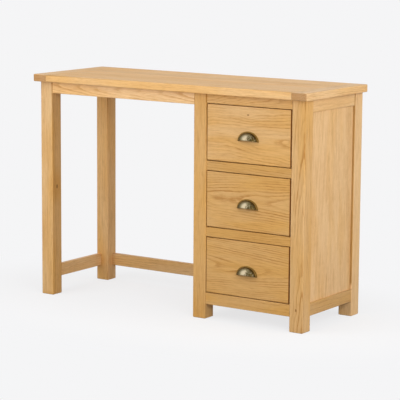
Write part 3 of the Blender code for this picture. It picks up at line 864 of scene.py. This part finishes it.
@dataclass(frozen=True)
class Steel:
    """Bright zinc-plated steel with fine turning marks."""

    light: Colour = (0.560, 0.560, 0.550)
    dull: Colour = (0.380, 0.375, 0.360)
    marks: Noise = Noise((700.0, 3000.0, 700.0))
    clouds: Noise = Noise((300.0, 300.0, 300.0), 3.0)
    dulled: Stretch = (0.40, 0.65)
    roughness: float = 0.28
    mark_roughness: float = 0.15
    bump: tuple[float, float] = (0.15, 0.0001)

    def material(self, name: str) -> Material:
        """Dress the screws.

        Args:
            name: The material's name.

        Returns:
            The material.
        """
        nodes = Surface(name)
        marks, clouds = nodes.noise(nodes.place, self.marks), nodes.noise(nodes.place, self.clouds)
        colour = nodes.blend(nodes.spread(clouds, *self.dulled), rgba(self.light), rgba(self.dull))
        rough = nodes.math("MULTIPLY_ADD", marks, self.mark_roughness, self.roughness)
        return nodes.finish(colour, rough, nodes.bump(*self.bump, marks), {"Metallic": 1.0})


@dataclass
class Timber:
    """A sawn solid with rounded edges, its tenons, and the sockets that are cut in it."""

    box: Box
    radius: float = 0.0015
    steps: int = 4
    square: tuple[Side, ...] = ()
    tenons: list[Box] = field(default_factory=list)
    sockets: list[Box] = field(default_factory=list)

    def is_square(self, edge: bmesh.types.BMEdge) -> bool:
        """Whether an edge lies on a face that stays square."""
        spots = [vert.co - self.box.centre for vert in edge.verts]
        return any(all(spot[side.value[0]] * side.value[1] > 0 for spot in spots) for side in self.square)

    def soften(self, form: Form) -> Form:
        """Round the sharp edges, all but the square ones.

        Args:
            form: The solid.

        Returns:
            The same solid.
        """
        edges = [e for e in form.edges if e.calc_face_angle() > SHARP and not self.is_square(e)]
        round_over(form, edges, self.radius, self.steps)
        return form

    def form(self) -> Form:
        """The rounded solid, without its joints."""
        return self.soften(self.box.form())

    def mesh(self, name: str) -> Mesh:
        """The finished mesh."""
        tenons, sockets = ([box.form() for box in boxes] for boxes in (self.tenons, self.sockets))
        return worked(name, self.form(), tenons, sockets)


@dataclass
class EndBoard(Timber):
    """An end board of the top, square where it meets the field, with its two outer corners rounded."""

    corner: float = 0.008
    corner_steps: int = 8

    def form(self) -> Form:
        """Round the corners, and then the other edges.

        Returns:
            The board, without its groove.
        """
        form = self.box.form()
        corners = [
            edge for edge in form.edges
            if not self.is_square(edge) and abs(edge.verts[0].co.z - edge.verts[1].co.z) > GAP
        ]
        round_over(form, corners, self.corner, self.corner_steps)
        return self.soften(form)


@dataclass
class Workshop:
    """The finishes, the cutting of tenons, and the mortises booked in pieces that are made later."""

    oak: Oak
    pewter: Pewter
    steel: Material
    mortises: dict[str, list[Box]] = field(default_factory=dict)

    def book(self, node: str, box: Box) -> None:
        """Have a socket cut in a piece when it is made."""
        self.mortises.setdefault(node, []).append(box)

    def rail(
        self, node: str, axis: int, legs: Sequence[Leg], shoulders: tuple[float, float] = (SHOULDER, SHOULDER)
    ) -> Timber:
        """A rail between two legs, with a tenon at each end.

        Args:
            node: The CAD node that the rail stands for.
            axis: 0 where the rail runs along X, 1 along Y.
            legs: The legs at its low and high ends.
            shoulders: What is left off the tenon below and above.

        Returns:
            The rail with its tenons.
        """
        whole = Box.of(node)
        low_leg, high_leg = (Box.of(leg.value) for leg in legs)
        low, high = low_leg.high[axis] + GAP, high_leg.low[axis] - GAP
        square = [Side.FRONT, Side.BACK] if axis else [Side.LEFT, Side.RIGHT]
        if abs(whole.high.z - low_leg.high.z) < GAP:
            square.append(Side.UPPER)
        rail = Timber(whole.within(axis, low, high), square=tuple(square))
        tenon = whole.within(1 - axis, *evenly(whole.centre[1 - axis], TENON_THICKNESS))
        tenon = tenon.within(2, whole.low.z + shoulders[0], whole.high.z - shoulders[1])
        self.tongue(rail, tenon, axis, [leg.value for leg in legs])
        return rail

    def tongue(self, board: Timber, whole: Box, axis: int, nodes: Sequence[str]) -> None:
        """Put a tenon or tongue on each end of a board, and book their sockets.

        Args:
            board: The board.
            whole: A box as thick and wide as they are, from one's tip to the other's.
            axis: The axis that they stick out along.
            nodes: The nodes that they go into, at the board's low and high end.
        """
        low, high = board.box.low[axis] + TENON_ROOT, board.box.high[axis] - TENON_ROOT
        for node, stretch in zip(nodes, ((whole.low[axis], low), (high, whole.high[axis]))):
            board.tenons.append(whole.within(axis, *stretch))
            self.book(node, board.tenons[-1].grown(GAP))


@dataclass
class Assembly:
    """A group of pieces that ride on one body of the frame."""

    shop: Workshop
    body: str = "frame"
    pieces: list[bpy.types.Object] = field(default_factory=list, init=False)

    def place(self, mesh: Mesh, material: Material, slot: Slot, *nodes: str) -> None:
        """Put a finished piece on the table in place of its CAD nodes, under its mesh's name.

        Args:
            mesh: Its mesh, in its place.
            material: Its material.
            slot: The record's slot; not used.
            *nodes: The CAD nodes that it stands for.
        """
        piece = stand(mesh.name, mesh)
        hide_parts(*nodes)
        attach(piece, self.body)
        mesh.materials.append(material)
        self.pieces.append(piece)
        LOG.info("%s rides on %s, %d faces", piece.name, self.body, len(mesh.polygons))

    def board(self, node: str, timber: Timber, slot: Slot, grain: Grain) -> None:
        """Make and dress one board.

        Args:
            node: The CAD node that it stands for.
            timber: Its shape.
            slot: The record's slot.
            grain: Which way its fibres run.
        """
        timber.sockets += self.shop.mortises.get(node, [])
        material = self.shop.oak.material(node, timber.box, grain, BOARDS[node])
        self.place(timber.mesh("oak_" + node), material, slot, node)

    def keep(self, node: str, grain: Grain, cut: Cut) -> None:
        """Dress a CAD node whose shape stays.

        Args:
            node: The node.
            grain: Which way its fibres run.
            cut: How it was sawn.
        """
        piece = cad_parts[node]
        material = self.shop.oak.material(node, Box.of(node), grain, cut)
        if not piece.material_slots:
            piece.data.materials.append(material)
        for slot in piece.material_slots:
            slot.material = material
        self.pieces.append(piece)
        LOG.info("%s keeps its solid on %s", node, self.body)


@dataclass
class Kneehole(Assembly):
    """Aprons under the top and stretchers near the floor, round the open left bay."""

    ENDS: ClassVar = {
        "apron_front": (0, Leg.FRONT_LEFT, Leg.INNER_FRONT),
        "apron_back": (0, Leg.BACK_LEFT, Leg.INNER_BACK),
        "apron_left": (1, Leg.FRONT_LEFT, Leg.BACK_LEFT),
        "stretcher_left": (1, Leg.FRONT_LEFT, Leg.BACK_LEFT),
        "stretcher_back": (0, Leg.BACK_LEFT, Leg.INNER_BACK),
    }

    def build(self) -> None:
        """Make the three aprons and the two stretchers."""
        for node, (axis, *legs) in self.ENDS.items():
            self.board(node, self.shop.rail(node, axis, legs), Slot.RAIL, Grain.along(axis))


@dataclass
class PedestalFront(Assembly):
    """The four rails round the drawer openings."""

    levels: tuple[str, ...] = ("bottom", "lower", "upper", "top")

    def build(self) -> None:
        """Make the rails."""
        for node in (f"front_rail_{level}" for level in self.levels):
            rail = self.shop.rail(node, 0, (Leg.INNER_FRONT, Leg.OUTER_FRONT))
            self.board(node, rail, Slot.RAIL, Grain.ALONG_X)


@dataclass
class FramedPanel(Assembly):
    """Two rails and a thin panel that sits in grooves in them and in the legs."""

    rails: str = "back_rail"
    legs: tuple[Leg, Leg] = (Leg.INNER_BACK, Leg.OUTER_BACK)
    axis: int = 0

    def build(self) -> None:
        """Make the rails and dress the panel."""
        panel = self.rails.replace("rail", "panel")
        shoulders = {
            f"{self.rails}_bottom": (SHOULDER, GROOVE_SHOULDER),
            f"{self.rails}_top": (GROOVE_SHOULDER, SHOULDER),
        }
        for holder in (*(leg.value for leg in self.legs), *shoulders):
            self.shop.book(holder, Box.of(panel).grown(GAP))
        made = {node: self.shop.rail(node, self.axis, self.legs, left) for node, left in shoulders.items()}
        for node, rail in made.items():
            self.board(node, rail, Slot.RAIL, Grain.along(self.axis))
        self.keep(panel, Grain.UPRIGHT, BOARDS[panel])


@dataclass
class Legs(Assembly):
    """Six square legs, with the mortises and grooves that the other pieces booked."""

    radius: float = 0.003
    steps: int = 6

    def build(self) -> None:
        """Make the legs. It comes after every piece that is jointed into them."""
        for leg in Leg:
            shape = Timber(Box.of(leg.value), self.radius, self.steps, (Side.UPPER,))
            self.board(leg.value, shape, Slot.LEG, Grain.UPRIGHT)


@dataclass
class Top(Assembly):
    """The field of staves and its two end boards."""

    radius: float = 0.003
    steps: int = 6
    tongue: float = 0.008
    stop: float = 0.030

    def build(self) -> None:
        """Make the field with a tongue along each end, and the end boards."""
        whole, ends = Box.of("top_field"), ("top_end_left", "top_end_right")
        left, right = (Box.of(node) for node in ends)
        inside = whole.within(0, left.high.x + GAP, right.low.x - GAP)
        middle = Timber(inside, self.radius, self.steps, (Side.LEFT, Side.RIGHT))
        tongue = whole.within(1, whole.low.y + self.stop, whole.high.y - self.stop)
        self.shop.tongue(middle, tongue.within(2, *evenly(whole.centre.z, self.tongue)), 0, ends)
        self.board("top_field", middle, Slot.TOP, Grain.ALONG_X)
        for node, box, inner in zip(ends, (left, right), (Side.RIGHT, Side.LEFT)):
            self.board(node, EndBoard(box, self.radius, self.steps, (inner,)), Slot.TOP, Grain.ALONG_Y)


@dataclass
class Runners(Assembly):
    """Battens inside the pedestal: six carry the drawers, and two keep the top one level."""

    first: Cut = Cut((0.020, 0.060), 0.0, 0.010, level=0.92)
    apart: Triple = (0.004, -0.013, 1.7)

    def build(self) -> None:
        """Dress the eight battens."""
        names = [f"drawer_{level}_runner_{hand}" for level in ("bottom", "middle", "top") for hand in HANDS]
        for count, node in enumerate(names + [f"kicker_{hand}" for hand in HANDS]):
            pith = tuple(self.first.pith[axis] + self.apart[axis] * count for axis in range(2))
            self.keep(node, Grain.ALONG_Y, replace(self.first, pith=pith, along=self.apart[2] * count))


@dataclass
class Screw:
    """A pan-head screw with a cross recess, along Y."""

    radius: float = 0.0020
    head_radius: float = 0.0040
    head_height: float = 0.0028
    dome: float = 0.65
    dome_steps: int = 6
    smooth_share: float = 0.3
    round_steps: int = 32
    recess: Triple = (0.0042, 0.0013, 0.0010)

    def cross(self) -> Form:
        """The recess's cross, from its length, depth and width.

        Returns:
            The form that is cut from the head.
        """
        length, depth, width = self.recess
        bars = []
        for across, up in ((length, width), (width, length)):
            low = Vector((-across / 2, self.head_height - depth, -up / 2))
            high = Vector((across / 2, self.head_height + depth, up / 2))
            bars.append(Box(low, high).form())
        mesh = worked("recess", bars[0], bars[1:])
        cross = bmesh.new()
        cross.from_mesh(mesh)
        bpy.data.meshes.remove(mesh)
        return cross

    def mesh(self, name: str, place: Vector, tip: float) -> Mesh:
        """Make the screw.

        Args:
            name: The mesh's name.
            place: The middle of the head's under side.
            tip: Where the screw ends along Y.

        Returns:
            Its mesh, in its place.
        """
        profile = [(0.0, self.head_height)]
        for step in range(1, self.dome_steps + 1):
            angle = math.pi / 2 * step / self.dome_steps
            share = 1 - self.dome + self.dome * math.cos(angle)
            profile.append((self.head_radius * math.sin(angle), self.head_height * share))
        length = tip - place.y
        profile += [(self.head_radius, 0.0), (self.radius, 0.0), (self.radius, length), (0.0, length)]
        form = spun(profile, 1, 2 * math.pi, self.round_steps)
        for face in form.faces:
            face.smooth = face.calc_center_median().y > self.head_height * self.smooth_share
        cross = self.cross()
        for part in (form, cross):
            bmesh.ops.translate(part, vec=place, verts=part.verts)
        return worked(name, form, (), [cross])


@dataclass
class CupPull:
    """A half-round cup pull: a thin-walled dome with a flange round it, open below, on two screws."""

    origin: Vector
    half_width: float = 0.0405
    height: float = 0.0335
    flange: float = 0.0040
    flange_thickness: float = 0.0020
    fillet: float = 0.0016
    depth: float = 0.0235
    foot: float = 0.0006
    lip_rise: float = 0.0065
    wall: float = 0.0020
    rim_turn: float = math.radians(60)
    rim_radius: float = 0.0007
    rim_steps: int = 3
    arc_steps: int = 48
    dome_steps: int = 22
    fillet_steps: int = 5
    boss_radius: float = 0.0038
    boss_length: float = 0.0125
    hole_radius: float = 0.0023
    hole_length: float = 0.0093
    hole_lift: float = 0.0100
    hole_spacing: float = 0.0520
    round_steps: int = 32

    @classmethod
    def of(cls, node: str) -> "CupPull":
        """The pull that stands for a CAD node, from the middle of its foot on the drawer front's face."""
        box = Box.of(node)
        return cls(Vector((box.centre.x, box.high.y, box.low.z + cls.foot)))

    def profile(self) -> list[tuple[float, float]]:
        """Work out the outer face, from the flange's edge over the fillet to the crown.

        Returns:
            Radius and depth of each point.
        """
        dome = self.half_width - self.flange
        rise = self.flange_thickness
        points = [(self.half_width, rise), (dome + self.fillet, rise)]
        start = math.asin((rise + self.fillet) / self.depth)
        meet = (dome * math.cos(start), self.depth * math.sin(start))
        for step in range(1, self.fillet_steps):
            share = step / self.fillet_steps
            points.append(tuple(
                first * (1 - share) ** 2 + 2 * bend * share * (1 - share) + last * share ** 2
                for first, bend, last in zip(points[1], (dome, rise), meet)
            ))
        for step in range(self.dome_steps + 1):
            angle = start + (math.pi / 2 - start) * step / self.dome_steps
            points.append((dome * math.cos(angle), self.depth * math.sin(angle)))
        return points

    def shell(self) -> Form:
        """Make the dome and flange as one closed shell, cut off below on a slant.

        Returns:
            The shell, in its place.
        """
        form = spun(self.profile(), -1, math.pi, self.arc_steps)
        bmesh.ops.scale(form, vec=(1.0, 1.0, self.height / self.half_width), verts=form.verts)
        bmesh.ops.bisect_plane(
            form, geom=[*form.verts, *form.edges, *form.faces], dist=MERGE, plane_co=(0.0, 0.0, 0.0),
            plane_no=(0.0, -self.lip_rise, -self.depth), clear_outer=True,
        )
        bmesh.ops.solidify(form, geom=form.faces, thickness=self.wall)
        for face in form.faces:
            face.smooth = True
        rims = [edge for edge in form.edges if edge.is_manifold and edge.calc_face_angle() > self.rim_turn]
        round_over(form, rims, self.rim_radius, self.rim_steps)
        bmesh.ops.translate(form, vec=self.origin, verts=form.verts)
        return form

    def line(self, side: int) -> Vector:
        """Where a screw's line meets the drawer front."""
        return self.origin + Vector((side * self.hole_spacing / 2, 0.0, self.hole_lift))

    def rods(self, radius: float, low: float, high: float) -> list[Form]:
        """A rod along Y on the line of each screw.

        Args:
            radius: The rods' radius.
            low: Their low end along Y, from the pull's foot.
            high: Their high end.

        Returns:
            The rods, in their place.
        """
        made = []
        for side in HANDS.values():
            form = bmesh.new()
            bmesh.ops.create_cone(
                form, cap_ends=True, segments=self.round_steps, radius1=radius, radius2=radius,
                depth=high - low,
            )
            bmesh.ops.rotate(form, matrix=Matrix.Rotation(math.pi / 2, 3, "X"), verts=form.verts)
            middle = self.line(side) + Vector((0.0, (low + high) / 2, 0.0))
            bmesh.ops.translate(form, vec=middle, verts=form.verts)
            made.append(form)
        return made

    def mesh(self, name: str) -> Mesh:
        """The finished pull: shell, bosses and screw holes."""
        bosses = self.rods(self.boss_radius, -self.boss_length, 0.0)
        return worked(name, self.shell(), bosses, self.rods(self.hole_radius, -self.hole_length, self.wall))


@dataclass
class Drawer(Assembly):
    """One drawer: a front with its pull, and a box of two sides, a back and a base.

    The sides go into the front with half-blind dovetails. Shares are of the dovetails' pitch.
    """

    radius: float = 0.002
    steps: int = 6
    tails: int = 4
    tail_length: float = 0.014
    root_share: float = 0.50
    tip_share: float = 0.68
    margin: float = 0.004

    FURTHER: ClassVar = 11.0
    WALL: ClassVar = Cut((0.012, 0.070), 0.0, 0.015, 0.0042, 0.012, 0.95, 0.3, 0.60)
    WALLS_APART: ClassVar = (0.008, 2.3)
    BASE: ClassVar = {"pith": (0.050, 0.0), "staves": (1, 0.082)}
    BASE_APART: ClassVar = 8.0

    def sockets(self) -> list[Form]:
        """Make the dovetail sockets in both ends of the front.

        Returns:
            One form for each socket.
        """
        front, base = Box.of(f"{self.body}_front"), Box.of(f"{self.body}_base")
        made = []
        for hand in HANDS:
            wall = Box.of(f"{self.body}_side_{hand}")
            low, high = base.high.z + self.margin, wall.high.z - self.margin
            pitch = (high - low) / self.tails
            socket = wall.within(1, front.high.y - self.tail_length, front.high.y + TENON_ROOT)
            for count in range(self.tails):
                middle = low + (count + 0.5) * pitch
                form = socket.within(2, *evenly(middle, pitch)).grown(GAP).form()
                for vert in form.verts:
                    share = self.tip_share if vert.co.y < front.high.y else self.root_share
                    vert.co.z = middle + math.copysign(pitch * share / 2 + GAP, vert.co.z - middle)
                made.append(form)
        return made

    def build(self) -> None:
        """Make the front, the pull and the screws, and dress the box."""
        node = f"{self.body}_front"
        front, pull = Box.of(node), CupPull.of(f"{self.body}_pull")
        groove = Box.of(f"{self.body}_base").grown(GAP).form()
        holes = pull.rods(pull.hole_radius, -GAP, front.size.y + pull.wall)
        shape = Timber(front, self.radius, self.steps).form()
        mesh = worked("oak_" + node, shape, (), [groove, *holes, *self.sockets()])
        cut = BOARDS[node]
        self.place(mesh, self.shop.oak.material(node, front, Grain.ALONG_X, cut), Slot.FRONT, node)
        self.build_fittings(pull, front.high.y + GAP)
        self.dress_box(cut)

    def build_fittings(self, pull: CupPull, inside: float) -> None:
        """Make the pull and its two screws.

        Args:
            pull: The pull.
            inside: Where the screws' heads are along Y.
        """
        name = f"pewter_{self.body}_pull"
        material = self.shop.pewter.material(name, pull)
        self.place(pull.mesh(name), material, Slot.PEWTER, f"{self.body}_pull")
        for hand, side in HANDS.items():
            node = f"{self.body}_screw_{hand}"
            head = pull.line(side)
            head.y = inside
            mesh = Screw().mesh(f"steel_{node}", head, Box.of(node).low.y)
            self.place(mesh, self.shop.steel, Slot.STEEL, node)

    def dress_box(self, front: Cut) -> None:
        """Dress the sides, back and base.

        Args:
            front: How the front was sawn. The box's boards come from further along.
        """
        start = front.along + self.FURTHER
        walls = {"side_left": Grain.ALONG_Y, "side_right": Grain.ALONG_Y, "back": Grain.ALONG_X}
        for count, (part, grain) in enumerate(walls.items()):
            pith = (self.WALL.pith[0] + self.WALLS_APART[0] * count, self.WALL.pith[1])
            cut = replace(self.WALL, pith=pith, along=start + self.WALLS_APART[1] * count)
            self.keep(f"{self.body}_{part}", grain, cut)
        base = replace(self.WALL, along=start + self.BASE_APART, taper=front.taper, **self.BASE)
        self.keep(f"{self.body}_base", Grain.ALONG_X, base)


def direction(azimuth: float, elevation: float) -> Vector:
    """Unit vector towards an azimuth from -Y round to +X, and an elevation, in degrees."""
    turn, lift = math.radians(azimuth), math.radians(elevation)
    return Vector((math.sin(turn) * math.cos(lift), -math.cos(turn) * math.cos(lift), math.sin(lift)))


@dataclass(frozen=True)
class SoftBox:
    """A square studio lamp that faces a point of the table."""

    name: str
    azimuth: float
    elevation: float
    distance: float
    side: float
    power: float
    aim: Triple = (0.05, 0.0, 0.42)

    def build(self) -> None:
        """Hang the lamp."""
        lamp = bpy.data.lights.new(self.name, "AREA")
        lamp.shape = "SQUARE"
        lamp.size = self.side
        lamp.energy = self.power
        obj = stand(self.name, lamp)
        back = direction(self.azimuth, self.elevation)
        obj.location = Vector(self.aim) + back * self.distance
        obj.rotation_euler = (-back).to_track_quat("-Z", "Y").to_euler()


@dataclass
class Studio:
    """Camera, lamps, pale floor and surroundings."""

    target: Triple = (0.0175, 0.0, 0.3654)
    azimuth: float = 34.182
    elevation: float = 9.085
    distance: float = 6.2118
    roll: float = 0.399
    lens: float = 163.13
    sensor: float = 36.0
    backdrop: Colour = (0.913, 0.913, 0.922)
    ambient: Colour = (0.40, 0.40, 0.40)
    bounce: Colour = (0.38, 0.38, 0.38)
    floor: Colour = (0.20, 0.20, 0.20)
    floor_mottle: float = 0.01
    floor_noise: Noise = Noise((240.0, 240.0, 240.0), 3.0)
    floor_lift: float = 0.81
    floor_size: float = 80.0
    shadow_form: Triple = (1.0, 1.6, 0.0)
    shadow_edge: Stretch = (0.55, 1.15)
    lamps: tuple[SoftBox, ...] = (
        SoftBox("key", -26.0, 19.0, 1.75, 1.6, 13.4),
        SoftBox("fill", 52.0, 14.0, 2.4, 1.1, 20.8),
        SoftBox("side", 95.0, 22.0, 2.2, 1.2, 10.5),
        SoftBox("overhead", 0.0, 88.0, 2.4, 1.3, 7.2),
        SoftBox("glint", -30.0, 50.0, 2.4, 0.6, 3.2),
    )

    def build(self) -> None:
        """Set the studio up."""
        self.build_camera()
        self.build_floor()
        self.build_world()
        for lamp in self.lamps:
            lamp.build()
        bpy.context.scene.view_settings.view_transform = "Standard"

    def build_camera(self) -> None:
        """Stand the camera where the photograph was taken."""
        camera = stand("camera", bpy.data.cameras.new("camera"))
        camera.data.lens = self.lens
        camera.data.sensor_width = self.sensor
        back = direction(self.azimuth, self.elevation)
        right = Matrix.Rotation(math.radians(self.roll), 3, back) @ direction(self.azimuth + 90.0, 0.0)
        axes = Matrix((right, back.cross(right), back)).transposed()
        place = Vector(self.target) + back * self.distance
        camera.matrix_world = Matrix.Translation(place) @ axes.to_4x4()
        bpy.context.scene.camera = camera

    def seen(self, nodes: Nodes) -> Socket:
        """Tell the rays that see the backdrop from those that take light from it.

        Args:
            nodes: The tree's nodes.

        Returns:
            One for the rays that see it.
        """
        rays = nodes.add("ShaderNodeLightPath").outputs
        straight = nodes.math("MAXIMUM", rays["Is Camera Ray"], rays["Is Glossy Ray"])
        return nodes.math("MAXIMUM", straight, rays["Is Transmission Ray"])

    def build_floor(self) -> None:
        """Lay a pale floor that keeps the table's shadow close by and is plain backdrop further off."""
        form = bmesh.new()
        bmesh.ops.create_grid(form, x_segments=1, y_segments=1, size=self.floor_size)
        floor = stand("floor", mesh_of("floor", form))
        floor.data.materials.append(self.floor_material())

    def floor_material(self) -> Material:
        """Dress the floor.

        Returns:
            Its material.
        """
        nodes = Surface("pale_floor")
        nodes.tree.nodes.remove(nodes.shader)
        seen = self.seen(nodes)
        mottle = nodes.noise(nodes.place, self.floor_noise)
        low, high = (rgba(self.floor, level) for level in evenly(1.0, 2 * self.floor_mottle))
        surface = nodes.add("ShaderNodeBsdfDiffuse", {"Color": nodes.blend(mottle, low, high)})
        bounce = nodes.add("ShaderNodeBsdfDiffuse", {"Color": rgba(self.bounce)})
        lift, plain = (
            nodes.add("ShaderNodeEmission", {"Color": rgba(self.backdrop), "Strength": strength})
            for strength in (self.floor_lift, 1.0)
        )
        lit = nodes.add("ShaderNodeAddShader", {0: surface.outputs[0], 1: lift.outputs[0]})
        near = nodes.add("ShaderNodeMixShader", {0: seen, 1: bounce.outputs[0], 2: lit.outputs[0]})
        away = nodes.vector("LENGTH", nodes.vector("MULTIPLY", nodes.place, self.shadow_form))
        share = nodes.math("MULTIPLY", nodes.spread(away, *self.shadow_edge), seen)
        whole = nodes.add("ShaderNodeMixShader", {0: share, 1: near.outputs[0], 2: plain.outputs[0]})
        nodes.feed(nodes.tree.nodes["Material Output"].inputs["Surface"], whole.outputs[0])
        return nodes.material

    def build_world(self) -> None:
        """Give even light from all round, and the backdrop where the surroundings are seen."""
        world = bpy.data.worlds.new("surroundings")
        bpy.context.scene.world = world
        world.use_nodes = True
        nodes = Nodes(world.node_tree)
        background = world.node_tree.nodes["Background"]
        colour = nodes.blend(self.seen(nodes), rgba(self.ambient), rgba(self.backdrop))
        nodes.feed(background.inputs["Color"], colour)
        background.inputs["Strength"].default_value = 1.0


def main() -> None:
    """Build the studio and the table, sub-assembly by sub-assembly."""
    logging.basicConfig(level=logging.INFO, format="%(name)s: %(message)s")
    Studio().build()
    shop = Workshop(Oak(), Pewter(), Steel().material("zinc_steel"))
    for part in (
        Kneehole(shop),
        PedestalFront(shop),
        FramedPanel(shop, rails="side_rail_outer", legs=(Leg.OUTER_FRONT, Leg.OUTER_BACK), axis=1),
        FramedPanel(shop, rails="side_rail_inner", legs=(Leg.INNER_FRONT, Leg.INNER_BACK), axis=1),
        FramedPanel(shop),
        Legs(shop),
        Top(shop),
        Runners(shop),
        Drawer(shop, "drawer_top"),
        Drawer(shop, "drawer_middle"),
        Drawer(shop, "drawer_bottom"),
    ):
        part.build()
        LOG.info("%s: %d pieces", type(part).__name__, len(part.pieces))


if __name__ == "__main__":
    main()
